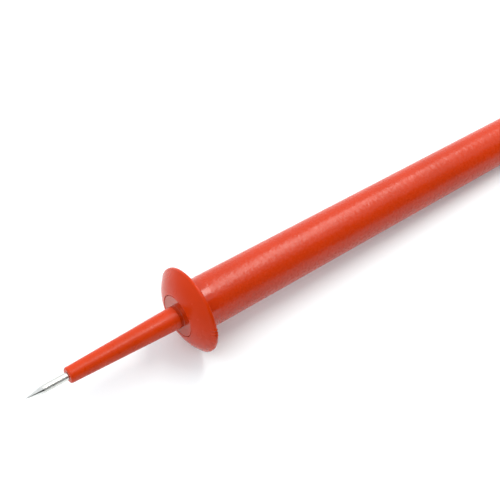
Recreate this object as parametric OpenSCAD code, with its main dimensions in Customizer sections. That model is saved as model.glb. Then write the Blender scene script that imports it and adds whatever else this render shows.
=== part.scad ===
// Slim test probe with a sprung needle, a screwed nose, a round finger guard and a 4 mm rear socket.
// Millimetres. The axis lies along X: the needle points to -X and the socket opens to +X.
// The origin is on the axis, where the round wall of the socket bore begins.

/* [Handle] */
// Length of the handle, from the back of the guard to the rear face
handle_len = 113.3; // [105:0.1:140]
// Wall of the handle at its rear, around the long bore
handle_rear_wall = 1.55; // [1.2:0.05:2.4]
// Wall of the short register on the front of the handle, which carries the guard
register_wall = 1.2; // [0.8:0.05:1.8]
// Width of the shoulder behind the register, which the guard rests on
shoulder = 0.65; // [0.4:0.05:1.6]

/* [Guard] */
// Diameter of the guard disc
guard_d = 22.6; // [18:0.1:30]
// Thickness of the guard at its rim
guard_rim_t = 0.8; // [0.6:0.1:1.2]
// Height of the guard, from its back to its flat front
guard_h = 4; // [3.2:0.1:5]
// Thickness of the inner ledge that the nose clamps
guard_ledge_t = 0.8; // [0.5:0.1:1.2]
// How far the cone of the guard bulges beyond a straight line
guard_bulge = 0.18; // [0:0.02:0.4]

/* [Nose] */
// Length of the nose, from the flat front of the guard to its tip
nose_len = 31.4; // [24:0.1:40]
// Diameter of the nose at its root
nose_root_d = 5.9; // [4.8:0.1:7.2]
// Wall of the nose around the needle at its tip
nose_tip_wall = 1; // [0.7:0.05:1.3]
// Rounding of the outer edge at the tip
nose_tip_round = 0.55; // [0.2:0.05:0.8]
// How far the head of the nose reaches out over the ledge of the guard
nose_head_ledge = 0.8; // [0.5:0.1:1.5]
// Length of the threaded spigot that enters the handle
spigot_len = 8; // [6.5:0.1:10]
// Depth of the nose thread
thread_depth = 0.4; // [0.3:0.05:0.5]
// Pitch of the nose thread
thread_pitch = 1.5; // [1:0.05:2]

/* [Needle] */
// Diameter of the needle
needle_d = 2; // [1.6:0.1:2.4]
// Length of needle that stands out of the nose
needle_out = 11.6; // [8:0.1:16]
// Length of the ground point of the needle
needle_point_len = 4.7; // [3:0.1:7]
// How far the needle can be pushed in
needle_travel = 4; // [2:0.1:5]

/* [Contact] */
// Wall of the collar around the end of the needle
collar_wall = 0.53; // [0.3:0.01:0.8]
// Length of the collar
collar_len = 5; // [3:0.1:6]
// Wall of the contact tube
tube_wall = 0.4; // [0.3:0.05:0.5]
// Length of the contact tube
tube_len = 20; // [16:0.1:26]
// Diameter of the spring wire
spring_wire_d = 0.35; // [0.25:0.01:0.45]
// Turns of the spring that are free to close
spring_turns = 8; // [6:1:10]
// Length of the insulating carrier in the handle
carrier_len = 14; // [10:0.1:18]
// Width of the step that the carrier rests on in the handle
carrier_step = 0.4; // [0.3:0.05:0.8]

/* [Inner lead] */
// Diameter of the bare core of the inner lead
core_d = 1; // [0.8:0.1:1.2]
// Wall of its insulation
insulation_wall = 0.55; // [0.4:0.05:0.8]
// How far the lead strays from the axis
lead_sway = 1.1; // [0:0.1:1.4]

/* [Socket] */
// Bore of the socket
socket_bore_d = 4; // [4:0.1:4.8]
// Depth of the socket bore
socket_depth = 20; // [16:0.1:24]
// Wall of the socket contact
socket_wall = 0.7; // [0.5:0.05:0.9]
// Wall of the insert between the contact and the handle
insert_wall = 1.06; // [0.8:0.01:1.4]
// Thickness of the flange of the insert
insert_flange_t = 1.6; // [1.2:0.1:2.4]
// Rounding of the rear edge of the insert
insert_round = 0.8; // [0.4:0.1:1]

/* [Clearances] */
// Radial gap of a sliding or running fit
run_gap = 0.05; // [0.03:0.01:0.08]
// Radial gap of a pressed fit
press_gap = 0.02; // [0.01:0.01:0.03]
// Gap of the screwed nose in its thread, in the guard and in the mouth of the handle
screw_gap = 0.1; // [0.08:0.01:0.15]

/* [Hidden] */
$fn = 96;
round_steps = 6;
edge_chamfer = 0.12;
lead_in_chamfer = 0.5;

// Radii of the handle, built up from the socket outwards
socket_bore_r = socket_bore_d / 2;
socket_r = socket_bore_r + socket_wall;
handle_bore_r = socket_r + insert_wall + 2 * press_gap;
handle_rear_r = handle_bore_r + handle_rear_wall;
thread_bore_r = handle_bore_r + carrier_step;
spigot_r = thread_bore_r - screw_gap;
thread_r = spigot_r + thread_depth;
groove_r = thread_r + screw_gap;
mouth_r = groove_r + screw_gap;
register_r = mouth_r + register_wall;
handle_front_r = register_r + shoulder;

// Places along X, from the rear to the tip
register_len = 0.8;
mouth_chamfer = 0.3;
nose_head_t = guard_h - register_len - guard_ledge_t;
x_rear = mouth_chamfer;
x_insert_seat = x_rear - insert_flange_t;
x_front = x_rear - handle_len;
x_register = x_front - register_len;
x_guard_front = x_front - guard_h;
x_head_back = x_guard_front + nose_head_t;
x_nose_tip = x_guard_front - nose_len;
x_needle_tip = x_nose_tip - needle_out;
x_spigot_end = x_front + spigot_len;

// Thread
thread_sunk = 0.15;
thread_root_share = 0.34;
thread_crest_share = 0.1;
thread_root_half = thread_pitch * thread_root_share;
thread_crest_half = thread_pitch * thread_crest_share;
thread_steps = 24;
thread_margin = 0.3;
thread_fade = 0.5;
thread_run_out = 0.25;
mouth_depth = 0.4;
x_thread = x_front + mouth_depth;
x_thread_start = x_thread + thread_margin + thread_root_half;
x_thread_end = x_spigot_end - thread_margin - thread_root_half;
thread_turns = floor((x_thread_end - x_thread_start) / thread_pitch * 4) / 4;

// Needle, nose bore and seal
needle_r = needle_d / 2;
needle_bore_r = needle_r + run_gap;
needle_relief = 0.4;
needle_relief_r = needle_r + needle_relief;
needle_guide_len = 12;
dirt_groove_len = 0.7;
dirt_groove_depth = 0.2;
needle_point_r = 0.03;
nose_root_r = nose_root_d / 2;
nose_tip_r = needle_bore_r + nose_tip_wall;
nose_head_r = mouth_r + nose_head_ledge;
seal_r = 0.44;
seal_slack = 0.22;
seal_groove_len = 2 * seal_r + seal_slack;
seal_groove_r = mouth_r - 2 * (seal_r + run_gap);
x_groove_end = x_head_back + seal_groove_len;

// Contact tube, collar and plug
tube_bore_r = needle_r + press_gap + collar_wall + run_gap;
tube_r = tube_bore_r + tube_wall;
tube_flange_w = 0.6;
tube_flange_r = tube_r + tube_flange_w;
tube_flange_t = 0.6;
tube_lip_t = 0.8;
tube_gap = 0.2;
x_tube = x_spigot_end + tube_gap;
x_tube_end = x_tube + tube_len;
x_collar = x_tube + tube_lip_t;
x_collar_end = x_collar + collar_len;
collar_end_t = 1;
x_needle_end = x_collar_end - collar_end_t;
plug_len = 2;
plug_flange_t = 0.6;
plug_pin_share = 0.45;
plug_pin_r = plug_pin_share * tube_bore_r;
x_plug = x_tube_end - plug_len;
cup_r = core_d / 2 + press_gap;
cup_depth = 3;
tail_len = 5;
plug_cup_wall = 0.43;
plug_tail_r = cup_r + plug_cup_wall;
x_plug_tail = x_tube_end + tail_len;

// Carrier
carrier_head_t = 1.2;
x_carrier_seat = x_tube + carrier_head_t;
x_carrier_end = x_tube + carrier_len;

// Socket
socket_flange_w = 0.5;
socket_flange_r = socket_r + socket_flange_w;
socket_flange_t = 1;
socket_end_t = 1.2;
socket_cup_wall = 0.58;
socket_tail_r = cup_r + socket_cup_wall;
snap_groove_depth = 0.25;
snap_ring_t = 0.6;
snap_ring_out = 0.6;
snap_ring_gap = 1.6;
x_socket_bottom = -socket_depth;
x_socket_end = x_socket_bottom - socket_end_t;
x_socket_tail = x_socket_end - tail_len;
insert_short = 3.3;
x_insert_end = x_socket_bottom + insert_short;
x_snap_ring = x_insert_end - snap_ring_t;

// Inner lead, solder and sleeves
core_in = 2.4;
strip_len = 1.2;
lead_rings = 40;
lead_sides = 10;
lead_drop = 0.6;
insulation_r = core_d / 2 + insulation_wall;
solder_len = 0.8;
solder_out = 0.33;
solder_tip = 0.1;
sleeve_r = max(socket_tail_r, insulation_r) + run_gap;
sleeve_wall = 0.25;
sleeve_lap = 3;
x_insulation_start = x_plug_tail + strip_len;
x_insulation_end = x_socket_tail - strip_len;

// Points of an arc about [cx, cy], from angle a0 to a1
function arc(cx, cy, r, a0, a1) = [
    for (i = [0:round_steps])
        let (a = a0 + (a1 - a0) * i / round_steps)
        [cx + r * cos(a), cy + r * sin(a)]
];

// Points between p and q that bulge to the left of the line by height h, both ends left out
function bulge(p, q, h) =
    let (d = q - p, n = [-d[1], d[0]] / norm(d))
    [for (i = [1:round_steps - 1]) let (t = i / round_steps) p + d * t + n * 4 * h * t * (1 - t)];

function unit(v) = v / norm(v);

// Outer radius of the handle at x
function handle_r(x) = handle_rear_r + (handle_front_r - handle_rear_r) * (x_rear - x) / handle_len;

// A solid of revolution about the X axis. Each point is [radius, x]
module lathe(points) {
    rotate([0, 90, 0])
        rotate_extrude()
            polygon(points);
}

// Side walls and end caps of a swept tube whose rings have n points each, with the last ring at index last
function swept_faces(n, last) =
    let (walls = [
        for (i = [0:last - 1], k = [0:n - 1])
            let (a = i * n + k, b = i * n + (k + 1) % n)
            each [[a, b, b + n], [a, b + n, a + n]]
    ])
    concat(walls, [[for (k = [n - 1:-1:0]) k], [for (k = [0:n - 1]) last * n + k]]);

// A closed tube of constant thickness along a path. ref is never parallel to the path
module swept_wire(path, r, sides, ref) {
    last = len(path) - 1;
    rings = [
        for (i = [0:last])
            let (
                t = unit(path[min(i + 1, last)] - path[max(i - 1, 0)]),
                u = unit(cross(t, ref)),
                v = cross(u, t)
            )
            for (k = [0:sides - 1])
                path[i] + r * (cos(360 * k / sides) * u + sin(360 * k / sides) * v)
    ];
    polyhedron(points = rings, faces = swept_faces(sides, last), convexity = 10);
}

// A right-handed helical ridge about the X axis, from n0 to n1 turns past x_thread_start. It rises
// from just inside base_r to crest_r, is wider by grow on each flank, and fades over its end turns
module screw_ridge(base_r, crest_r, grow, n0, n1, fade) {
    first = round(n0 * thread_steps);
    last = round(n1 * thread_steps);
    root_r = base_r - thread_sunk;
    low_r = base_r - thread_sunk / 3;
    root_half = thread_root_half + grow;
    crest_half = thread_crest_half + grow;
    rings = [
        for (i = [first:last])
            let (
                a = 360 * i / thread_steps,
                x = x_thread_start + thread_pitch * i / thread_steps,
                turns_to_end = min(i - first, last - i) / thread_steps,
                rise = fade > 0 ? min(1, turns_to_end / fade) : 1,
                tip_r = low_r + (crest_r - low_r) * rise
            )
            for (q = [[root_r, -root_half], [tip_r, -crest_half], [tip_r, crest_half], [root_r, root_half]])
                [x + q[1], q[0] * cos(a), q[0] * sin(a)]
    ];
    polyhedron(points = rings, faces = swept_faces(4, last - first), convexity = 10);
}

// The ground point, the bare needle, a dirt groove just inside the nose, and the shank up to the collar
module needle() {
    groove_bottom_r = needle_r - dirt_groove_depth;
    color("gainsboro")
        lathe([
            [0, x_needle_tip],
            [needle_point_r, x_needle_tip],
            [needle_r, x_needle_tip + needle_point_len],
            [needle_r, x_nose_tip],
            [groove_bottom_r, x_nose_tip],
            [groove_bottom_r, x_nose_tip + dirt_groove_len],
            [needle_r, x_nose_tip + dirt_groove_len],
            [needle_r, x_needle_end],
            [0, x_needle_end]
        ]);
}

module needle_collar() {
    outer_r = tube_bore_r - run_gap;
    inner_r = needle_r + press_gap;
    color("goldenrod")
        lathe([
            [inner_r, x_collar],
            [outer_r - edge_chamfer, x_collar],
            [outer_r, x_collar + edge_chamfer],
            [outer_r, x_collar_end - edge_chamfer],
            [outer_r - edge_chamfer, x_collar_end],
            [0, x_collar_end],
            [0, x_needle_end + press_gap],
            [inner_r, x_needle_end + press_gap]
        ]);
}

// The end turns of the spring lie closed, and the free turns share the length that is left
module needle_spring() {
    steps_per_turn = 16;
    wire_sides = 8;
    end_turns = 1.25;
    coil_clearance = 0.02;
    closed_pitch = spring_wire_d + coil_clearance;
    helix_r = tube_bore_r - 2 * run_gap - spring_wire_d / 2;
    seat = spring_wire_d / 2 + press_gap;
    length = x_plug - x_collar_end - 2 * seat;
    end_len = end_turns * closed_pitch;
    turns = spring_turns + 2 * end_turns;
    function along(t) =
        t < end_turns ? t * closed_pitch
        : t > turns - end_turns ? length - (turns - t) * closed_pitch
        : end_len + (t - end_turns) * (length - 2 * end_len) / spring_turns;
    path = [
        for (i = [0:turns * steps_per_turn])
            let (t = i / steps_per_turn)
            [x_collar_end + seat + along(t), helix_r * cos(360 * t), helix_r * sin(360 * t)]
    ];
    color("silver")
        swept_wire(path, spring_wire_d / 2, wire_sides, [1, 0, 0]);
}

module nose() {
    tip_round = min(nose_tip_round, nose_tip_wall - edge_chamfer);
    slope = atan((nose_root_r - nose_tip_r) / nose_len);
    x_relief = x_nose_tip + needle_guide_len;
    relief_slope = needle_relief_r - needle_bore_r;
    color("orangered") {
        lathe(concat(
            [[needle_bore_r + edge_chamfer, x_nose_tip]],
            arc(nose_tip_r - tip_round, x_nose_tip + tip_round, tip_round, -90, -slope),
            [
                [nose_root_r, x_guard_front],
                [nose_head_r - edge_chamfer, x_guard_front],
                [nose_head_r, x_guard_front + edge_chamfer],
                [nose_head_r, x_head_back],
                [seal_groove_r, x_head_back],
                [seal_groove_r, x_groove_end],
                [thread_r, x_groove_end],
                [thread_r, x_thread - screw_gap],
                [spigot_r, x_thread - screw_gap],
                [spigot_r, x_spigot_end - thread_depth],
                [spigot_r - thread_depth, x_spigot_end],
                [needle_relief_r, x_spigot_end],
                [needle_relief_r, x_relief + relief_slope],
                [needle_bore_r, x_relief],
                [needle_bore_r, x_nose_tip + edge_chamfer]
            ]
        ));
        screw_ridge(spigot_r, thread_r, 0, 0, thread_turns, thread_fade);
    }
}

module nose_seal_ring() {
    ring_steps = 32;
    color("dimgray")
        rotate([0, 90, 0])
            translate([0, 0, x_head_back + seal_groove_len / 2])
                rotate_extrude()
                    translate([seal_groove_r + run_gap + seal_r, 0])
                        circle(r = seal_r, $fn = ring_steps);
}

module guard_disc() {
    rim_r = guard_d / 2;
    rim_round_share = 0.4;
    rim_round = guard_rim_t * rim_round_share;
    rim_chamfer = rim_round * rim_round_share;
    hole_r = nose_head_r + screw_gap;
    front_land = 0.25;
    fit_r = register_r + press_gap;
    x_fit = x_register - press_gap;
    cone_start = [rim_r - rim_chamfer, x_front - guard_rim_t];
    cone_end = [hole_r + front_land, x_guard_front];
    color("orangered")
        lathe(concat(
            [[fit_r, x_front]],
            arc(rim_r - rim_round, x_front - rim_round, rim_round, 90, 0),
            [[rim_r, x_front - guard_rim_t + rim_round - rim_chamfer], cone_start],
            bulge(cone_start, cone_end, guard_bulge),
            [
                cone_end,
                [hole_r + edge_chamfer, x_guard_front],
                [hole_r, x_guard_front + edge_chamfer],
                [hole_r, x_head_back],
                [mouth_r, x_head_back],
                [mouth_r, x_fit],
                [fit_r, x_fit]
            ]
        ));
}

module barrel() {
    turns_before = (x_thread_start - x_front) / thread_pitch;
    turns_after = thread_turns + thread_run_out;
    color("orangered")
        difference() {
            lathe([
                [mouth_r, x_register],
                [register_r, x_register],
                [register_r, x_front],
                [handle_front_r, x_front],
                [handle_r(x_insert_seat), x_insert_seat],
                [handle_bore_r, x_insert_seat],
                [handle_bore_r, x_carrier_seat],
                [thread_bore_r, x_carrier_seat],
                [thread_bore_r, x_thread],
                [mouth_r, x_thread]
            ]);
            screw_ridge(thread_bore_r, groove_r, screw_gap, -turns_before, turns_after, 0);
        }
}

module contact_carrier() {
    head_r = thread_bore_r - press_gap;
    body_r = handle_bore_r - press_gap;
    bore_r = tube_r + press_gap;
    recess_r = tube_flange_r + press_gap;
    color("ivory")
        lathe([
            [recess_r, x_tube],
            [head_r, x_tube],
            [head_r, x_carrier_seat],
            [body_r, x_carrier_seat],
            [body_r, x_carrier_end - lead_in_chamfer],
            [body_r - lead_in_chamfer, x_carrier_end],
            [bore_r, x_carrier_end],
            [bore_r, x_tube + tube_flange_t],
            [recess_r, x_tube + tube_flange_t]
        ]);
}

// The lip at the front of the tube lets the needle through and stops the collar
module contact_tube() {
    color("gold")
        lathe([
            [needle_bore_r, x_tube],
            [tube_flange_r, x_tube],
            [tube_flange_r, x_tube + tube_flange_t],
            [tube_r, x_tube + tube_flange_t],
            [tube_r, x_tube_end],
            [tube_bore_r, x_tube_end],
            [tube_bore_r, x_collar],
            [needle_bore_r, x_collar]
        ]);
}

// The plug closes the tube, its pin stops the collar at full travel, and its cup takes the lead
module tube_plug() {
    body_r = tube_bore_r - press_gap;
    x_stop = x_collar_end + needle_travel + run_gap;
    color("gold")
        lathe([
            [0, x_stop],
            [plug_pin_r, x_stop],
            [plug_pin_r, x_plug],
            [body_r, x_plug],
            [body_r, x_tube_end],
            [tube_r, x_tube_end],
            [tube_r, x_tube_end + plug_flange_t],
            [plug_tail_r, x_tube_end + plug_flange_t],
            [plug_tail_r, x_plug_tail],
            [cup_r, x_plug_tail],
            [cup_r, x_plug_tail - cup_depth],
            [0, x_plug_tail - cup_depth]
        ]);
}

// The lead runs in one slow wave between the two cups, and straight at both ends
function lead_at(x) =
    let (
        t = (x - x_insulation_start) / (x_insulation_end - x_insulation_start),
        s = max(0, min(1, t)),
        sway = lead_sway * pow(sin(180 * s), 2)
    )
    [x, sway * sin(360 * s), -sway * lead_drop];

module lead_wire(x0, x1, r) {
    path = [for (i = [0:lead_rings]) lead_at(x0 + (x1 - x0) * i / lead_rings)];
    swept_wire(path, r, lead_sides, [0, 0, 1]);
}

module lead_core() {
    color("peru")
        lead_wire(x_plug_tail - core_in, x_socket_tail + core_in, core_d / 2);
}

module lead_insulation() {
    color("firebrick")
        difference() {
            lead_wire(x_insulation_start, x_insulation_end, insulation_r);
            lead_wire(x_plug_tail - core_in, x_socket_tail + core_in, cup_r);
        }
}

// A bead of solder at the mouth of each cup
module solder_joints() {
    color("silver")
        for (end = [[x_plug_tail, 1], [x_socket_tail, -1]])
            lathe([
                [cup_r, end[0]],
                [cup_r + solder_out, end[0]],
                [cup_r + solder_tip, end[0] + end[1] * solder_len],
                [cup_r, end[0] + end[1] * solder_len]
            ]);
}

// Heat-shrink sleeves over the two soldered ends of the lead
module shrink_sleeves() {
    color("dimgray")
        for (span = [[x_plug_tail - sleeve_lap, x_insulation_start + sleeve_lap],
                     [x_insulation_end - sleeve_lap, x_socket_tail + sleeve_lap]])
            lathe([
                [sleeve_r, span[0]],
                [sleeve_r + sleeve_wall, span[0]],
                [sleeve_r + sleeve_wall, span[1]],
                [sleeve_r, span[1]]
            ]);
}

module socket_contact() {
    snap_groove_r = socket_r - snap_groove_depth;
    color("lightgray")
        lathe([
            [socket_bore_r + mouth_chamfer, x_rear],
            [socket_bore_r, 0],
            [socket_bore_r, x_socket_bottom],
            [0, x_socket_bottom],
            [0, x_socket_tail + cup_depth],
            [cup_r, x_socket_tail + cup_depth],
            [cup_r, x_socket_tail],
            [socket_tail_r, x_socket_tail],
            [socket_tail_r, x_socket_end],
            [socket_r - edge_chamfer, x_socket_end],
            [socket_r, x_socket_end + edge_chamfer],
            [socket_r, x_snap_ring],
            [snap_groove_r, x_snap_ring],
            [snap_groove_r, x_insert_end],
            [socket_r, x_insert_end],
            [socket_r, x_rear - socket_flange_t],
            [socket_flange_r, x_rear - socket_flange_t],
            [socket_flange_r, x_rear]
        ]);
}

module socket_insert() {
    body_r = handle_bore_r - press_gap;
    bore_r = socket_r + press_gap;
    recess_r = socket_flange_r + press_gap;
    color("orangered")
        lathe(concat(
            [[recess_r, x_rear]],
            arc(handle_rear_r - insert_round, x_rear - insert_round, insert_round, 90, 0),
            [
                [handle_r(x_insert_seat), x_insert_seat],
                [body_r, x_insert_seat],
                [body_r, x_insert_end + lead_in_chamfer],
                [body_r - lead_in_chamfer, x_insert_end],
                [bore_r, x_insert_end],
                [bore_r, x_rear - socket_flange_t],
                [recess_r, x_rear - socket_flange_t]
            ]
        ));
}

// A split ring that holds the contact in the insert
module socket_snap_ring() {
    inner_r = socket_r - snap_groove_depth + press_gap;
    outer_r = socket_r + snap_ring_out;
    x0 = x_snap_ring + press_gap;
    x1 = x_insert_end - press_gap;
    color("silver")
        difference() {
            lathe([[inner_r, x0], [outer_r, x0], [outer_r, x1], [inner_r, x1]]);
            translate([x_snap_ring - snap_ring_t, -snap_ring_gap / 2, 0])
                cube([3 * snap_ring_t, snap_ring_gap, 2 * outer_r]);
        }
}

needle();
needle_collar();
needle_spring();
nose();
nose_seal_ring();
guard_disc();
barrel();
contact_carrier();
contact_tube();
tube_plug();
lead_core();
lead_insulation();
solder_joints();
shrink_sleeves();
socket_contact();
socket_insert();
socket_snap_ring();
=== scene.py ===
import math

import bmesh
import bpy
import numpy as np
from mathutils import Matrix, Vector


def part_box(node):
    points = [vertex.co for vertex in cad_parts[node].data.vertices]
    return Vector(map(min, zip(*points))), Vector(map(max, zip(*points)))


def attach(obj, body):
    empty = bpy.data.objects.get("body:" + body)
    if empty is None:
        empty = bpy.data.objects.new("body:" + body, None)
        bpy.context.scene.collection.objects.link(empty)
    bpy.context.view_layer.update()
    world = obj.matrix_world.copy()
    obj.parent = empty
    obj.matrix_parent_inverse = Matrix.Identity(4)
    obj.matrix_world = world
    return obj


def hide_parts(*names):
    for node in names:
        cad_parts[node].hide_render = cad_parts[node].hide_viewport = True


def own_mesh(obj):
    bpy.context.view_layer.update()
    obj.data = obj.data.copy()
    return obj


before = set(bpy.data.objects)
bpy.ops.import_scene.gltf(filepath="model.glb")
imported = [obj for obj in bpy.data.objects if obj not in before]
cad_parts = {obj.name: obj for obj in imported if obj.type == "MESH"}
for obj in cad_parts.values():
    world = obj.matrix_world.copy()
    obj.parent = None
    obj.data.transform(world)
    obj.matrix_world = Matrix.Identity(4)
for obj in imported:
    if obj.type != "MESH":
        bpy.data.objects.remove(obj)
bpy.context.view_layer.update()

# Sizes are in millimetres, or in metres where a name ends in _M, and the scene is in metres. The axis of the
# probe lies along X, and the needle points to -X.
MM = 0.001


def span(node):
    """Both ends of a CAD node along the axis, and its outer radius."""
    low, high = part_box(node)
    return low.x / MM, high.x / MM, high.z / MM


# Places and radii read from the CAD nodes
X_REGISTER, X_INSERT_SEAT, HANDLE_FRONT_R = span("barrel")
X_GUARD_FRONT, X_FRONT, GUARD_R = span("guard_disc")
X_NOSE_TIP, X_SPIGOT_END, NOSE_HEAD_R = span("nose")
X_NEEDLE_TIP, X_NEEDLE_END, NEEDLE_R = span("needle")
X_INSERT_END, X_REAR, INSERT_SEAT_R = span("socket_insert")
_, _, CONTACT_FLANGE_R = span("socket_contact")
_, X_COLLAR_END, COLLAR_R = span("needle_collar")
X_TUBE, X_TUBE_END, _ = span("contact_tube")
X_SEAL, X_SEAL_END, SEAL_OUTER_R = span("nose_seal_ring")

# Gaps of the pressed, the running and the screwed fits
PRESS_GAP = 0.02
RUN_GAP = 0.05
SCREW_GAP = 0.1

# Roundings of edges, from the sharpest to the softest
SHARP_ROUND = 0.03
FINE_ROUND = 0.05
LIP_ROUND = 0.08
INNER_ROUND = 0.1
EDGE_ROUND = 0.12
SEAM_ROUND = 0.14
REGISTER_ROUND = 0.15

# The nose. Its head lies in the guard, with a seal bed and a threaded spigot behind it. The gloss covers a
# ring in front of the head and goes NOSE_GLOSS_SHADE_DEPTH behind the head's front face. There its red is
# darker, as painted shade where the nose shades its root and the head
NOSE_HEAD_T = 2.4
NOSE_HEAD_LEDGE = 0.8
NOSE_RING_LEN = 0.9
NOSE_GLOSS_SHADE_DEPTH = 0.01
NOSE_ROOT_R = 2.95
NOSE_TIP_WALL = 1
NOSE_TIP_ROUND = 0.85
NOSE_GUIDE_LEN = 12
NEEDLE_RELIEF = 0.4
SEAL_BED_LEN = 1.1
SEAL_BED_DEPTH = 0.98
X_HEAD_BACK = X_GUARD_FRONT + NOSE_HEAD_T
MOUTH_R = NOSE_HEAD_R - NOSE_HEAD_LEDGE
NEEDLE_BORE_R = NEEDLE_R + RUN_GAP
NEEDLE_RELIEF_R = NEEDLE_R + NEEDLE_RELIEF
NOSE_TIP_R = NEEDLE_BORE_R + NOSE_TIP_WALL

# The thread between the nose and the handle. Its turns are counted from X_THREAD_START, which is behind the
# front of the handle by THREAD_LEAD_IN
THREAD_PITCH = 1.5
THREAD_DEPTH = 0.4
THREAD_TURNS = 3.75
THREAD_LEAD_IN = 1.21
THREAD_STEP = 0.1
RIDGE_FOOT_HALF = 0.412
RIDGE_CREST_HALF = 0.15
RIDGE_FADE_TURNS = 0.5
GROOVE_RUN_OUT_TURNS = 0.25
X_THREAD_START = X_FRONT + THREAD_LEAD_IN
GROOVE_R = MOUTH_R - SCREW_GAP
THREAD_R = GROOVE_R - SCREW_GAP
SPIGOT_R = THREAD_R - THREAD_DEPTH
THREAD_BORE_R = SPIGOT_R + SCREW_GAP

# The handle. It carries the guard on its register, and is smooth behind the guard for HANDLE_LAND_LEN
HANDLE_LAND_LEN = 4.2
HANDLE_REAR_WALL = 1.55
SHOULDER = 0.65
MOUTH_DEPTH = 0.4
CARRIER_STEP = 0.4
CARRIER_HEAD_T = 1.2
X_MOUTH_END = X_FRONT + MOUTH_DEPTH
X_CARRIER_SEAT = X_TUBE + CARRIER_HEAD_T
REGISTER_R = HANDLE_FRONT_R - SHOULDER
HANDLE_BORE_R = THREAD_BORE_R - CARRIER_STEP
HANDLE_REAR_R = HANDLE_BORE_R + HANDLE_REAR_WALL

# The guard. Its cone runs from the rim to a narrow flat land, and bulges beyond a straight line. The first
# steps of the cone are left to the rounding of the rim
GUARD_RIM_T = 0.8
GUARD_RIM_ROUND = 0.5
GUARD_RIM_BACK_ROUND = 0.32
GUARD_CONE_INSET = 0.128
GUARD_CONE_STEPS = 24
GUARD_CONE_FIRST_STEP = 3
GUARD_BULGE = 0.45
GUARD_LAND = 0.25
GUARD_LAND_ROUND = 0.2

# The mark of the moulding gate on the rim. The fade is a share of its half length, the ripple is in radians
# per millimetre along the rim, and the lift is a share of its depth by which the ripple stands out
GATE_ANGLE = math.radians(167)
GATE_MARK_LEN = 2.2
GATE_MARK_DEPTH = 0.16
GATE_MARK_FADE = 0.6
GATE_MARK_RIPPLE = 7
GATE_MARK_LIFT = 0.3

# The needle
NEEDLE_POINT_LEN = 4.7
NEEDLE_POINT_R = 0.03
NEEDLE_POINT_ROUND = 0.02
NEEDLE_POINT_BLEND = 2
DIRT_GROOVE_LEN = 0.7
DIRT_GROOVE_DEPTH = 0.2

# The socket's insert
INSERT_WALL = 1.06
INSERT_ROUND = 0.8
INSERT_CHAMFER = 0.5
CONTACT_FLANGE_T = 1
CONTACT_R = HANDLE_BORE_R - INSERT_WALL - 2 * PRESS_GAP

# The spring, between the collar and the plug of the contact tube
SPRING_WIRE_R = 0.175
SPRING_FREE_TURNS = 8
SPRING_END_TURNS = 1.25
SPRING_COIL_GAP = 0.02
PLUG_LEN = 2

# Limits of the mesh making. A turn of an outline below NEARLY_STRAIGHT, in radians, isn't rounded. A thread
# moves the points within THREAD_REACH of its radius, and stretches within STRETCH_REACH of it are divided
NEARLY_STRAIGHT = 0.3
THREAD_REACH = 1e-3
STRETCH_REACH = 1e-6
MERGE_DIST_M = 1e-8


# Meshes


def straight(start, end, step):
    """Points from start to end, both left out, at most a step apart."""
    count = max(1, math.ceil(math.dist(start, end) / step))
    return [tuple(a + (b - a) * i / count for a, b in zip(start, end)) for i in range(1, count)]


def rounded(corners, closed=True, arc_steps=5, step=2.5):
    """Outline points (x, r) from corners (x, r) or (x, r, radius), each rounded by an arc. No point is more
    than a step from the next. An open outline starts and ends on the axis."""
    points = []
    count = len(corners)
    for i, corner in enumerate(corners):
        here = Vector(corner[:2])
        back = Vector(corners[i - 1][:2]) - here
        ahead = Vector(corners[(i + 1) % count][:2]) - here
        half = back.angle(ahead) / 2
        at_end = not closed and i in (0, count - 1)
        if at_end or math.pi - 2 * half < NEARLY_STRAIGHT:
            points.append(tuple(here))
            continue
        radius = corner[2] if len(corner) > 2 else SHARP_ROUND
        reach = min(radius / math.tan(half), back.length / 2, ahead.length / 2)
        radius = reach * math.tan(half)
        centre = here + (back.normalized() + ahead.normalized()).normalized() * radius / math.sin(half)
        first = here + back.normalized() * reach - centre
        last = here + ahead.normalized() * reach - centre
        turn = math.atan2(first.x * last.y - first.y * last.x, first.dot(last))
        for k in range(arc_steps + 1):
            points.append(tuple(centre + Matrix.Rotation(turn * k / arc_steps, 2) @ first))
    divided = []
    for start, end in zip(points, points[1:] + points[:1] if closed else points[1:]):
        divided.append(start)
        divided.extend(straight(start, end, step))
    return divided if closed else divided + [points[-1]]


def with_thread(outline, r):
    """The outline with its stretches at radius r divided finely, so that they can carry a thread."""
    divided = []
    for start, end in zip(outline, outline[1:] + outline[:1]):
        divided.append(start)
        if abs(start[1] - r) < STRETCH_REACH and abs(end[1] - r) < STRETCH_REACH:
            divided.extend(straight(start, end, THREAD_STEP))
    return divided


def ridge(x, angle, widening, first, last, fade):
    """Height, from 0 to 1, of the helical ridge of a thread at places on a cylinder. The ridge runs from turn
    first to turn last and fades over fade turns at both ends. widening is added to each flank."""
    turns = (x - X_THREAD_START) / THREAD_PITCH - angle / (2 * math.pi)
    nearest = np.round(turns)
    away = np.abs(turns - nearest) * THREAD_PITCH
    turn = nearest + angle / (2 * math.pi)
    foot = RIDGE_FOOT_HALF + widening
    crest = RIDGE_CREST_HALF + widening
    height = np.clip((foot - away) / (foot - crest), 0, 1)
    to_end = np.minimum(turn - first, last - turn)
    rise = np.clip(to_end / fade, 0, 1) if fade else (to_end >= 0)
    return height * rise


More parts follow.
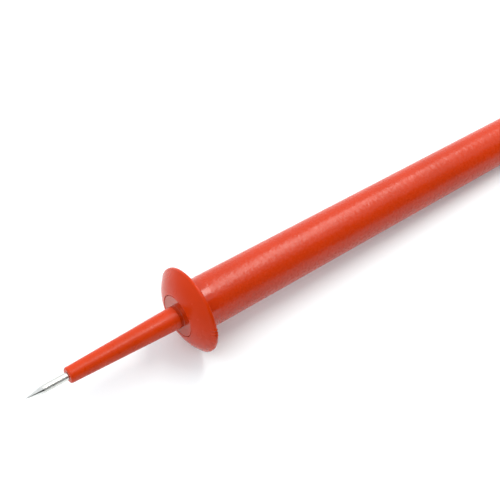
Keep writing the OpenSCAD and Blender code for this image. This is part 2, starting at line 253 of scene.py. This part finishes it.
def smooth_by_area(mesh):
    """Smooth shading with normals weighted by area, so that wide faces stay true beside small roundings."""
    mesh.shade_smooth()
    loops = np.empty(len(mesh.loops), np.int32)
    mesh.loops.foreach_get("vertex_index", loops)
    sizes = np.empty(len(mesh.polygons), np.int32)
    mesh.polygons.foreach_get("loop_total", sizes)
    areas = np.empty(len(mesh.polygons))
    mesh.polygons.foreach_get("area", areas)
    normals = np.empty(len(mesh.polygons) * 3)
    mesh.polygons.foreach_get("normal", normals)
    weighted = np.repeat(normals.reshape(-1, 3) * areas[:, None], sizes, axis=0)
    total = np.zeros((len(mesh.vertices), 3))
    np.add.at(total, loops, weighted)
    total /= np.linalg.norm(total, axis=1)[:, None]
    mesh.normals_split_custom_set_from_vertices(total)


def new_object(name, data):
    """An object of the scene that holds this mesh, lamp or camera."""
    made = bpy.data.objects.new(name, data)
    bpy.context.scene.collection.objects.link(made)
    return made


def new_piece(name, points, faces):
    """A mesh object from points in millimetres, with its faces turned outwards."""
    mesh = bpy.data.meshes.new(name)
    mesh.from_pydata(np.asarray(points) * MM, [], faces)
    work = bmesh.new()
    work.from_mesh(mesh)
    bmesh.ops.remove_doubles(work, verts=work.verts, dist=MERGE_DIST_M)
    if work.calc_volume(signed=True) < 0:
        bmesh.ops.reverse_faces(work, faces=work.faces)
    work.to_mesh(mesh)
    work.free()
    mesh.update()
    return new_object(name, mesh)


def tube_faces(rings, sides, closed):
    """Quads between rings of points, and from the last ring to the first where the rings are closed."""
    ring = np.arange(rings if closed else rings - 1)[:, None]
    side = np.arange(sides)[None, :]
    after = (ring + 1) % rings
    beside = (side + 1) % sides
    quads = [ring * sides + side, after * sides + side, after * sides + beside, ring * sides + beside]
    return np.stack(quads, -1).reshape(-1, 4).tolist()


def turned(name, outline, sides=96, closed=True, shape=None):
    """A piece turned about the X axis. shape(x, r, angle) may change the radius, as a thread does."""
    outline = np.array(outline)
    x = np.repeat(outline[:, 0], sides)
    r = np.repeat(outline[:, 1], sides)
    angle = np.tile(np.arange(sides) * 2 * math.pi / sides, len(outline))
    if shape:
        r = shape(x, r, angle)
    points = np.stack([x, r * np.cos(angle), r * np.sin(angle)], 1)
    piece = new_piece(name, points, tube_faces(len(outline), sides, closed))
    smooth_by_area(piece.data)
    return piece


def swept(name, path, r, sides=12):
    """A round wire along a path that never runs along X, with both ends closed."""
    path = np.array(path)
    along = np.gradient(path, axis=0)
    along /= np.linalg.norm(along, axis=1)[:, None]
    out = np.cross(along, (1, 0, 0))
    out /= np.linalg.norm(out, axis=1)[:, None]
    up = np.cross(along, out)
    angle = np.arange(sides) * 2 * math.pi / sides
    rings = path[:, None] + r * (out[:, None] * np.cos(angle)[:, None] + up[:, None] * np.sin(angle)[:, None])
    faces = tube_faces(len(path), sides, closed=False)
    ends = [list(range(sides)), [(len(path) - 1) * sides + k for k in reversed(range(sides))]]
    piece = new_piece(name, rings.reshape(-1, 3), faces + ends)
    piece.data.shade_smooth()
    return piece


# Materials


def feed(tree, socket, value):
    """Link the socket where the value comes from another node, or else set it."""
    if isinstance(value, bpy.types.NodeSocket):
        tree.links.new(value, socket)
    else:
        socket.default_value = value


def add_node(tree, kind, settings=(), **inputs):
    """A node of that kind. settings are its properties. inputs are numbers, colours or sockets to link."""
    node = tree.nodes.new(kind)
    for key, value in dict(settings).items():
        setattr(node, key, value)
    for key, value in inputs.items():
        socket = next(s for s in node.inputs if s.name.replace(" ", "_") == key and s.enabled)
        feed(tree, socket, value)
    return node


def new_material(name, **inputs):
    """A material, its node tree and its Principled shader, whose sockets are set to these values."""
    material = bpy.data.materials.new(name)
    material.use_nodes = True
    shader = material.node_tree.nodes["Principled BSDF"]
    for key, value in inputs.items():
        shader.inputs[key.replace("_", " ")].default_value = value
    return material, material.node_tree, shader


def object_coordinates(tree, stretch=(1, 1, 1)):
    """Coordinates on the object in millimetres, divided by stretch along each axis."""
    place = add_node(tree, "ShaderNodeTexCoord").outputs["Object"]
    scale = tuple(1 / (MM * s) for s in stretch)
    return add_node(tree, "ShaderNodeMapping", Vector=place, Scale=scale).outputs["Vector"]


def noise(tree, place, size, detail):
    """Noise whose features are about size millimetres wide."""
    return add_node(tree, "ShaderNodeTexNoise", Vector=place, Scale=1 / size, Detail=detail).outputs["Fac"]


def spread(tree, value, low, high, start=0.3, end=0.7):
    """A value from start to end, mapped to low to high and held there."""
    made = add_node(tree, "ShaderNodeMapRange", Value=value, From_Min=start, From_Max=end,
                    To_Min=low, To_Max=high)
    return made.outputs["Result"]


def mixed_colour(tree, share, colour, other):
    """The colour where share is 0, the other where it is 1, and a mixture of them between."""
    made = add_node(tree, "ShaderNodeMix", {"data_type": "RGBA"}, Factor=share)
    for name, value in (("A", colour), ("B", other)):
        socket = next(s for s in made.inputs if s.name == name and s.type == "RGBA")
        socket.default_value = (*value, 1)
    return next(s for s in made.outputs if s.type == "RGBA")


def math_node(tree, operation, first, second):
    """The result of a sum, a product or the like of two values."""
    made = add_node(tree, "ShaderNodeMath", {"operation": operation})
    for socket, value in zip(made.inputs, (first, second)):
        feed(tree, socket, value)
    return made.outputs["Value"]


def bumped(tree, shader, height, depth):
    """Relief on the shader. The height times the depth is in millimetres."""
    made = add_node(tree, "ShaderNodeBump", Height=height, Distance=depth * MM, Strength=1.0)
    tree.links.new(made.outputs["Normal"], shader.inputs["Normal"])


def shaded(tree, shader, share, colour, shade):
    """Give the shader a colour that goes to shade times its brightness, as share goes from 0 to 1."""
    darker = tuple(c * shade for c in colour)
    tree.links.new(mixed_colour(tree, share, colour, darker), shader.inputs["Base Color"])


def moulded_plastic(name, colour, roughness, grain=0.3, depth=0.004, swell=1.0, swell_depth=0.0, wander=0.05,
                    gloss=0.5, ior=1.42, tint=(1, 1, 1), drift=14, shade=0.9):
    """Moulded plastic: its colour drifts a little over the part, a fine grain gives it relief and breaks its
    gloss, and a broader swell makes its highlights uneven. Widths and depths are in millimetres."""
    material, tree, shader = new_material(name, IOR=ior, Specular_IOR_Level=gloss, Specular_Tint=(*tint, 1))
    place = object_coordinates(tree)
    shaded(tree, shader, spread(tree, noise(tree, place, drift, detail=2), 0, 1), colour, shade)
    fine = noise(tree, place, grain, detail=0)
    broad = noise(tree, place, swell, detail=1)
    tree.links.new(spread(tree, broad, roughness - wander, roughness + wander), shader.inputs["Roughness"])
    fine_relief = math_node(tree, "MULTIPLY", fine, depth)
    broad_relief = math_node(tree, "MULTIPLY", broad, swell_depth)
    bumped(tree, shader, math_node(tree, "ADD", fine_relief, broad_relief), 1)
    return material


def turned_metal(name, colour, roughness, mark=0.03, depth=0.0006, wander=0.04, mark_len=2, patch=1.5,
                 shade=0.88):
    """Turned and polished metal: fine marks run round the axis, and the gloss and the colour change slowly in
    patches. Widths and depths are in millimetres."""
    material, tree, shader = new_material(name, Metallic=1.0)
    marks = noise(tree, object_coordinates(tree, (mark, mark_len, mark_len)), size=1, detail=2)
    patches = noise(tree, object_coordinates(tree), patch, detail=2)
    shaded(tree, shader, spread(tree, patches, 0, 1), colour, shade)
    tree.links.new(spread(tree, patches, roughness - wander, roughness + wander), shader.inputs["Roughness"])
    bumped(tree, shader, marks, depth)
    return material


ORANGE_RED = (0.55, 0.034, 0.001)
PLASTICS = {
    "handle_plastic": dict(colour=ORANGE_RED, roughness=0.28, gloss=0.4, grain=0.42, depth=0.018, swell=1,
                           swell_depth=0.06),
    "handle_gloss": dict(colour=ORANGE_RED, roughness=0.14, depth=0.0, swell=1.2, swell_depth=0.006),
    "guard_plastic": dict(colour=ORANGE_RED, roughness=0.24, ior=1.46, tint=(0.7, 0.22, 0.22), depth=0.003,
                          swell=3, swell_depth=0.006),
    "nose_plastic": dict(colour=(0.6, 0.039, 0.001), roughness=0.3, gloss=0.3, grain=0.5, depth=0.016,
                         swell=1.6, swell_depth=0.03),
    # Darker than the nose's own red: painted shade of the nose on its root ring and on the head, with a
    # glossier finish
    "nose_gloss": dict(colour=(0.43, 0.024, 0.0006), roughness=0.06, wander=0.02, ior=1.56,
                       tint=(1, 0.85, 0.65), depth=0.0, swell=2, swell_depth=0.001),
    "carrier_plastic": dict(colour=(0.78, 0.74, 0.62), roughness=0.5, grain=0.4),
    "seal_rubber": dict(colour=(0.02, 0.02, 0.021), roughness=0.55, grain=0.2),
    "lead_plastic": dict(colour=(0.5, 0.012, 0.01), roughness=0.42, grain=0.6),
    "sleeve_plastic": dict(colour=(0.025, 0.025, 0.027), roughness=0.5, grain=0.5),
}
METALS = {
    "needle_steel": dict(colour=(0.75, 0.74, 0.7), roughness=0.37),
    "ground_steel": dict(colour=(0.76, 0.75, 0.72), roughness=0.1, mark=0.06),
    "spring_steel": dict(colour=(0.6, 0.6, 0.59), roughness=0.25),
    "gilt_brass": dict(colour=(0.9, 0.66, 0.28), roughness=0.2),
    "nickel_brass": dict(colour=(0.78, 0.75, 0.68), roughness=0.18),
    "copper": dict(colour=(0.9, 0.44, 0.28), roughness=0.3),
    "solder": dict(colour=(0.68, 0.68, 0.7), roughness=0.3, mark=0.4, depth=0.01),
}
MATERIALS = {name: moulded_plastic(name, **look) for name, look in PLASTICS.items()}
MATERIALS.update({name: turned_metal(name, **look) for name, look in METALS.items()})


# Pieces


def finish_piece(piece, body, slot, node):
    """Put a piece on its body in place of its CAD node, with the finish of its slot."""
    piece.data.materials.append(MATERIALS[slot])
    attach(piece, body)
    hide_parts(node)


def finish_part(piece, name, chosen):
    """Give another material to the faces for which chosen(x, r) is true. r is the distance from the axis."""
    piece.data.materials.append(MATERIALS[name])
    for face in piece.data.polygons:
        x, y, z = face.center / MM
        face.material_index = int(chosen(x, math.hypot(y, z)))


def make_barrel():
    """The handle, with the register for the guard, the threaded mouth and the long bore."""
    def threaded(x, r, angle):
        in_thread = (np.abs(r - THREAD_BORE_R) < THREAD_REACH) & (x < X_SPIGOT_END)
        first = (X_FRONT - X_THREAD_START) / THREAD_PITCH
        last = THREAD_TURNS + GROOVE_RUN_OUT_TURNS
        groove = ridge(x, angle, widening=SCREW_GAP, first=first, last=last, fade=0)
        return r + np.where(in_thread, groove * (GROOVE_R - THREAD_BORE_R), 0)

    taper = (HANDLE_FRONT_R - HANDLE_REAR_R) / (X_REAR - X_FRONT)
    seat_r = HANDLE_REAR_R + taper * (X_REAR - X_INSERT_SEAT)
    x_grain = X_FRONT + HANDLE_LAND_LEN
    outline = rounded([
        (X_REGISTER, MOUTH_R, FINE_ROUND),
        (X_REGISTER, REGISTER_R, REGISTER_ROUND),
        (X_FRONT, REGISTER_R),
        (X_FRONT, HANDLE_FRONT_R, EDGE_ROUND),
        (x_grain, HANDLE_FRONT_R - taper * HANDLE_LAND_LEN),
        (X_INSERT_SEAT, seat_r, SEAM_ROUND),
        (X_INSERT_SEAT, HANDLE_BORE_R, INNER_ROUND),
        (X_CARRIER_SEAT, HANDLE_BORE_R),
        (X_CARRIER_SEAT, THREAD_BORE_R),
        (X_MOUTH_END, THREAD_BORE_R),
        (X_MOUTH_END, MOUTH_R),
    ])
    piece = turned("barrel_shell", with_thread(outline, THREAD_BORE_R), shape=threaded)
    finish_piece(piece, "handle", "handle_plastic", "barrel")
    finish_part(piece, "handle_gloss", lambda x, r: x < x_grain and r > REGISTER_R)


def make_guard():
    """The finger guard: a bulging cone in front, a thin rim, and the ledge that the nose clamps."""
    def marked(x, r, angle):
        along = (angle - GATE_ANGLE) * GUARD_R / (GATE_MARK_LEN / 2)
        strength = np.clip((1 + GATE_MARK_FADE - np.abs(along)) / GATE_MARK_FADE, 0, 1)
        ripple = np.cos(angle * GUARD_R * GATE_MARK_RIPPLE) - GATE_MARK_LIFT
        on_rim = r > GUARD_R - GUARD_RIM_BACK_ROUND
        return r - np.where(on_rim, GATE_MARK_DEPTH * strength * ripple, 0)

    hole_r = NOSE_HEAD_R + SCREW_GAP
    x_rim = X_FRONT - GUARD_RIM_T
    x_fit = X_REGISTER - PRESS_GAP
    start = Vector((x_rim, GUARD_R - GUARD_CONE_INSET))
    end = Vector((X_GUARD_FRONT, hole_r + GUARD_LAND))
    out = Vector(((end - start).y, (start - end).x)).normalized()
    cone = []
    for i in range(GUARD_CONE_FIRST_STEP, GUARD_CONE_STEPS):
        t = i / GUARD_CONE_STEPS
        cone.append(tuple(start.lerp(end, t) + out * GUARD_BULGE * 4 * t * (1 - t)))
    outline = rounded([
        (X_FRONT, REGISTER_R + PRESS_GAP),
        (X_FRONT, GUARD_R, GUARD_RIM_BACK_ROUND),
        (x_rim, GUARD_R, GUARD_RIM_ROUND),
        *cone,
        (*end, GUARD_LAND_ROUND),
        (X_GUARD_FRONT, hole_r, EDGE_ROUND),
        (X_HEAD_BACK, hole_r),
        (X_HEAD_BACK, MOUTH_R),
        (x_fit, MOUTH_R),
        (x_fit, REGISTER_R + PRESS_GAP),
    ], step=1)
    piece = turned("guard_disc_shell", outline, sides=384, shape=marked)
    finish_piece(piece, "handle", "guard_plastic", "guard_disc")


def make_nose():
    """The nose: a tapered insulator with a round head, a seal bed and a threaded spigot."""
    def threaded(x, r, angle):
        in_thread = (np.abs(r - SPIGOT_R) < THREAD_REACH) & (x > X_FRONT)
        height = ridge(x, angle, widening=0, first=0, last=THREAD_TURNS, fade=RIDGE_FADE_TURNS)
        return r + np.where(in_thread, height * THREAD_DEPTH, 0)

    taper = (NOSE_ROOT_R - NOSE_TIP_R) / (X_GUARD_FRONT - X_NOSE_TIP)
    x_ring = X_GUARD_FRONT - NOSE_RING_LEN
    x_relief = X_NOSE_TIP + NOSE_GUIDE_LEN
    x_spigot = X_MOUTH_END - SCREW_GAP
    seal_bed_r = MOUTH_R - SEAL_BED_DEPTH
    seal_bed_end = X_HEAD_BACK + SEAL_BED_LEN
    outline = rounded([
        (X_NOSE_TIP, NEEDLE_BORE_R, EDGE_ROUND),
        (X_NOSE_TIP, NOSE_TIP_R, NOSE_TIP_ROUND),
        (x_ring, NOSE_ROOT_R - taper * NOSE_RING_LEN),
        (X_GUARD_FRONT, NOSE_ROOT_R, INNER_ROUND),
        (X_GUARD_FRONT, NOSE_HEAD_R, EDGE_ROUND),
        (X_HEAD_BACK, NOSE_HEAD_R, LIP_ROUND),
        (X_HEAD_BACK, seal_bed_r),
        (seal_bed_end, seal_bed_r),
        (seal_bed_end, THREAD_R, FINE_ROUND),
        (x_spigot, THREAD_R, FINE_ROUND),
        (x_spigot, SPIGOT_R),
        (X_SPIGOT_END - THREAD_DEPTH, SPIGOT_R),
        (X_SPIGOT_END, SPIGOT_R - THREAD_DEPTH, FINE_ROUND),
        (X_SPIGOT_END, NEEDLE_RELIEF_R, INNER_ROUND),
        (x_relief + NEEDLE_RELIEF_R - NEEDLE_BORE_R, NEEDLE_RELIEF_R),
        (x_relief, NEEDLE_BORE_R),
    ], arc_steps=6, step=1.2)
    piece = turned("nose_shell", with_thread(outline, SPIGOT_R), shape=threaded)
    finish_piece(piece, "nose_unit", "nose_plastic", "nose")
    # The ring at the root and the head's front face get the glossier finish, darkened as painted shade
    x_gloss_shade_end = X_GUARD_FRONT + NOSE_GLOSS_SHADE_DEPTH
    finish_part(piece, "nose_gloss", lambda x, r: x_ring < x < x_gloss_shade_end and r > NOSE_TIP_R)


def make_needle():
    """The needle, with its ground point and the dirt groove just inside the nose."""
    x_point_end = X_NEEDLE_TIP + NEEDLE_POINT_LEN
    x_groove_end = X_NOSE_TIP + DIRT_GROOVE_LEN
    groove_r = NEEDLE_R - DIRT_GROOVE_DEPTH
    outline = rounded([
        (X_NEEDLE_TIP, 0),
        (X_NEEDLE_TIP, NEEDLE_POINT_R, NEEDLE_POINT_ROUND),
        (x_point_end, NEEDLE_R, NEEDLE_POINT_BLEND),
        (X_NOSE_TIP, NEEDLE_R),
        (X_NOSE_TIP, groove_r),
        (x_groove_end, groove_r),
        (x_groove_end, NEEDLE_R),
        (X_NEEDLE_END, NEEDLE_R, INNER_ROUND),
        (X_NEEDLE_END, 0),
    ], closed=False, step=0.8)
    piece = turned("needle_ground", outline, sides=64, closed=False)
    finish_piece(piece, "needle_unit", "needle_steel", "needle")
    finish_part(piece, "ground_steel", lambda x, r: x < x_point_end)


def make_socket_insert():
    """The insulating end of the handle, with a rounded rear edge and a recess for the contact's flange."""
    bore_r = CONTACT_R + PRESS_GAP
    recess_r = CONTACT_FLANGE_R + PRESS_GAP
    body_r = HANDLE_BORE_R - PRESS_GAP
    x_recess = X_REAR - CONTACT_FLANGE_T
    outline = rounded([
        (X_REAR, recess_r, LIP_ROUND),
        (X_REAR, HANDLE_REAR_R, INSERT_ROUND),
        (X_INSERT_SEAT, INSERT_SEAT_R, SEAM_ROUND),
        (X_INSERT_SEAT, body_r),
        (X_INSERT_END + INSERT_CHAMFER, body_r),
        (X_INSERT_END, body_r - INSERT_CHAMFER),
        (X_INSERT_END, bore_r),
        (x_recess, bore_r),
        (x_recess, recess_r),
    ], arc_steps=8, step=1.5)
    piece = turned("socket_insert_shell", outline)
    finish_piece(piece, "handle", "handle_plastic", "socket_insert")


def make_spring():
    """The spring behind the needle's collar, at its length at rest; on the real probe it shortens towards the
    plug as the needle is pushed in.
    """
    x_plug = X_TUBE_END - PLUG_LEN
    seat = SPRING_WIRE_R + PRESS_GAP
    length = x_plug - X_COLLAR_END - 2 * seat
    helix_r = COLLAR_R - RUN_GAP - SPRING_WIRE_R
    turns = SPRING_FREE_TURNS + 2 * SPRING_END_TURNS
    closed_pitch = 2 * SPRING_WIRE_R + SPRING_COIL_GAP
    end_len = SPRING_END_TURNS * closed_pitch
    free_pitch = (length - 2 * end_len) / SPRING_FREE_TURNS

    def along(t):
        if t < SPRING_END_TURNS:
            return t * closed_pitch
        if t > turns - SPRING_END_TURNS:
            return length - (turns - t) * closed_pitch
        return end_len + (t - SPRING_END_TURNS) * free_pitch

    steps = 40
    path = []
    for i in range(round(turns * steps) + 1):
        t = i / steps
        angle = 2 * math.pi * t
        path.append((X_COLLAR_END + seat + along(t), helix_r * math.cos(angle), helix_r * math.sin(angle)))
    piece = swept("needle_spring_wire", path, SPRING_WIRE_R)
    finish_piece(piece, "handle", "spring_steel", "needle_spring")
    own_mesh(piece)


def make_seal_ring():
    """The rubber ring behind the nose's head."""
    ring_r = (X_SEAL_END - X_SEAL) / 2
    x_centre = (X_SEAL + X_SEAL_END) / 2
    centre_r = SEAL_OUTER_R - ring_r
    steps = 24
    outline = []
    for i in range(steps):
        angle = 2 * math.pi * i / steps
        outline.append((x_centre + ring_r * math.cos(angle), centre_r + ring_r * math.sin(angle)))
    piece = turned("nose_seal_ring_round", outline, sides=128)
    finish_piece(piece, "seal_unit", "seal_rubber", "nose_seal_ring")


make_barrel()
make_guard()
make_nose()
make_needle()
make_socket_insert()
make_spring()
make_seal_ring()

# The other CAD nodes are shown as they are, with these materials
INNER_FINISH = {
    "needle_collar": "gilt_brass",
    "contact_tube": "gilt_brass",
    "tube_plug": "gilt_brass",
    "contact_carrier": "carrier_plastic",
    "lead_core": "copper",
    "lead_insulation": "lead_plastic",
    "solder_joints": "solder",
    "shrink_sleeves": "sleeve_plastic",
    "socket_contact": "nickel_brass",
    "socket_snap_ring": "spring_steel",
}
for node_name, slot_name in INNER_FINISH.items():
    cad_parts[node_name].data.materials.clear()
    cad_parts[node_name].data.materials.append(MATERIALS[slot_name])


# Floor, light and camera

# The probe lies on the rim of its guard and on the rear of its handle
FLOOR_SLOPE = (GUARD_R - HANDLE_REAR_R) / -X_FRONT
FLOOR_SIZE_M = 6
# A little less red than grey, because the probe throws red light on the floor under it
FLOOR_COLOUR = (0.78, 0.82, 0.83)
FLOOR_GLOW = 0.16

WORLD_WHITE = 1.1
WORLD_COLOUR = (0.95, 0.99, 1.03)

# A wide dark card stands on the camera's side, a little towards the rear, with its top edge high above the
# probe. CARD_SIDE is the direction from the origin to its foot
CARD_SIDE = (0.2, -0.98)
CARD_DISTANCE_M = 2.6
CARD_HEIGHT_M = 3.3
CARD_WIDTH_M = 16
CARD_LEVEL = 0.08

# Area lamps, with their ends and their widths in metres. The one overhead runs over the probe to its far
# side and gives the long soft streak on the handle. The weak one in front of the needle lightens the shadow
# of the guard
SOFTBOXES = {
    "overhead_softbox": dict(start=(0.03, -0.14, 0.54), end=(0.34, 0.4, 0.54), width=0.12, brightness=9.9,
                             colour=(1, 0.965, 0.9)),
    "front_softbox": dict(start=(-0.4, -0.2, 0.45), end=(-0.4, 0.2, 0.45), width=0.25, brightness=1.6,
                          colour=(1, 1, 1)),
}

# The camera was fitted to the outline of the probe in the photograph, which is 500 pixels wide and high.
# Its angles are in degrees, and its focal length is in pixels
CAMERA_PLACE = (-276.48, -208.51, 345.65)
CAMERA_AZIMUTH = -40.861
CAMERA_ELEVATION = 50.5125
CAMERA_ROLL = 5.598
CAMERA_CLIP_M = 0.01
FRAME_PX = 500
FOCAL_PX = 1800
SENSOR_WIDTH = 36


def seen_directly(tree):
    """1 for camera rays and for what shows in gloss or through glass."""
    rays = add_node(tree, "ShaderNodeLightPath").outputs
    seen = math_node(tree, "MAXIMUM", rays["Is Camera Ray"], rays["Is Glossy Ray"])
    return math_node(tree, "MAXIMUM", seen, rays["Is Transmission Ray"])


def stage_face(name, corners, material):
    """A flat face of four corners that isn't part of the probe."""
    mesh = bpy.data.meshes.new(name)
    mesh.from_pydata(corners, [], [(0, 1, 2, 3)])
    mesh.materials.append(material)
    face = new_object(name, mesh)
    return face


def placed(name, data, place, right, up, back):
    """A lamp or camera at that place, whose own X, Y and Z axes point right, up and back."""
    made = new_object(name, data)
    made.matrix_world = Matrix.Translation(place) @ Matrix((right, up, back)).transposed().to_4x4()
    return made


def make_floor():
    """A pale floor under the probe. Its glow brightens it where it is seen, directly or in gloss."""
    material, tree, shader = new_material("floor_white", Base_Color=(*FLOOR_COLOUR, 1), Roughness=0.9,
                                          Specular_IOR_Level=0.1, Emission_Color=(1, 1, 1, 1))
    glow = math_node(tree, "MULTIPLY", seen_directly(tree), FLOOR_GLOW)
    tree.links.new(glow, shader.inputs["Emission Strength"])
    half = FLOOR_SIZE_M / 2
    plan = ((-half, -half), (half, -half), (half, half), (-half, half))
    stage_face("floor", [(x, y, FLOOR_SLOPE * x - HANDLE_REAR_R * MM) for x, y in plan], material)


def make_dark_card():
    """A dark card that keeps the light soft on one side, and shows in the gloss of plastic and steel."""
    material, _, _ = new_material("card_black", Base_Color=(0.01, 0.01, 0.01, 1), Roughness=1.0,
                                  Emission_Color=(1, 1, 1, 1), Emission_Strength=CARD_LEVEL)
    side = Vector((*CARD_SIDE, 0))
    along = Vector((-side.y, side.x, 0)) * CARD_WIDTH_M / 2
    foot = side * CARD_DISTANCE_M
    top = Vector((0, 0, CARD_HEIGHT_M))
    corners = [foot - along, foot + along, foot + along + top, foot - along + top]
    card = stage_face("dark_card", corners, material)
    card.visible_camera = False


def make_world():
    """A soft white dome."""
    world = bpy.data.worlds.new("dome")
    bpy.context.scene.world = world
    world.use_nodes = True
    tree = world.node_tree
    tree.nodes.clear()
    back = add_node(tree, "ShaderNodeBackground", Color=(*WORLD_COLOUR, 1), Strength=WORLD_WHITE)
    add_node(tree, "ShaderNodeOutputWorld", Surface=back.outputs["Background"])


def make_softbox(name, start, end, width, brightness, colour):
    """A long area lamp from start to end, turned to the origin. Its face has that brightness."""
    start = Vector(start)
    end = Vector(end)
    centre = (start + end) / 2
    along = (end - start).normalized()
    back = (centre - along * centre.dot(along)).normalized()
    lamp = bpy.data.lights.new(name, "AREA")
    lamp.shape = "RECTANGLE"
    lamp.size = (end - start).length
    lamp.size_y = width
    lamp.color = colour
    lamp.energy = brightness * math.pi * lamp.size * lamp.size_y
    placed(name, lamp, centre, along, back.cross(along), back).visible_camera = False


def make_camera():
    """The camera, at the place and the angles that were fitted to the photograph."""
    azimuth, elevation, roll = (math.radians(a) for a in (CAMERA_AZIMUTH, CAMERA_ELEVATION, CAMERA_ROLL))
    back = Vector((math.sin(azimuth) * math.cos(elevation), -math.cos(azimuth) * math.cos(elevation),
                   math.sin(elevation)))
    level = Vector((math.cos(azimuth), math.sin(azimuth), 0))
    upright = back.cross(level)
    right = level * math.cos(roll) + upright * math.sin(roll)
    up = upright * math.cos(roll) - level * math.sin(roll)
    data = bpy.data.cameras.new("camera")
    data.sensor_width = SENSOR_WIDTH
    data.lens = SENSOR_WIDTH * FOCAL_PX / FRAME_PX
    data.clip_start = CAMERA_CLIP_M
    bpy.context.scene.camera = placed("camera", data, Vector(CAMERA_PLACE) * MM, right, up, back)


make_floor()
make_dark_card()
make_world()
for lamp_name, lamp_look in SOFTBOXES.items():
    make_softbox(lamp_name, **lamp_look)
make_camera()
bpy.context.scene.view_settings.view_transform = "Standard"
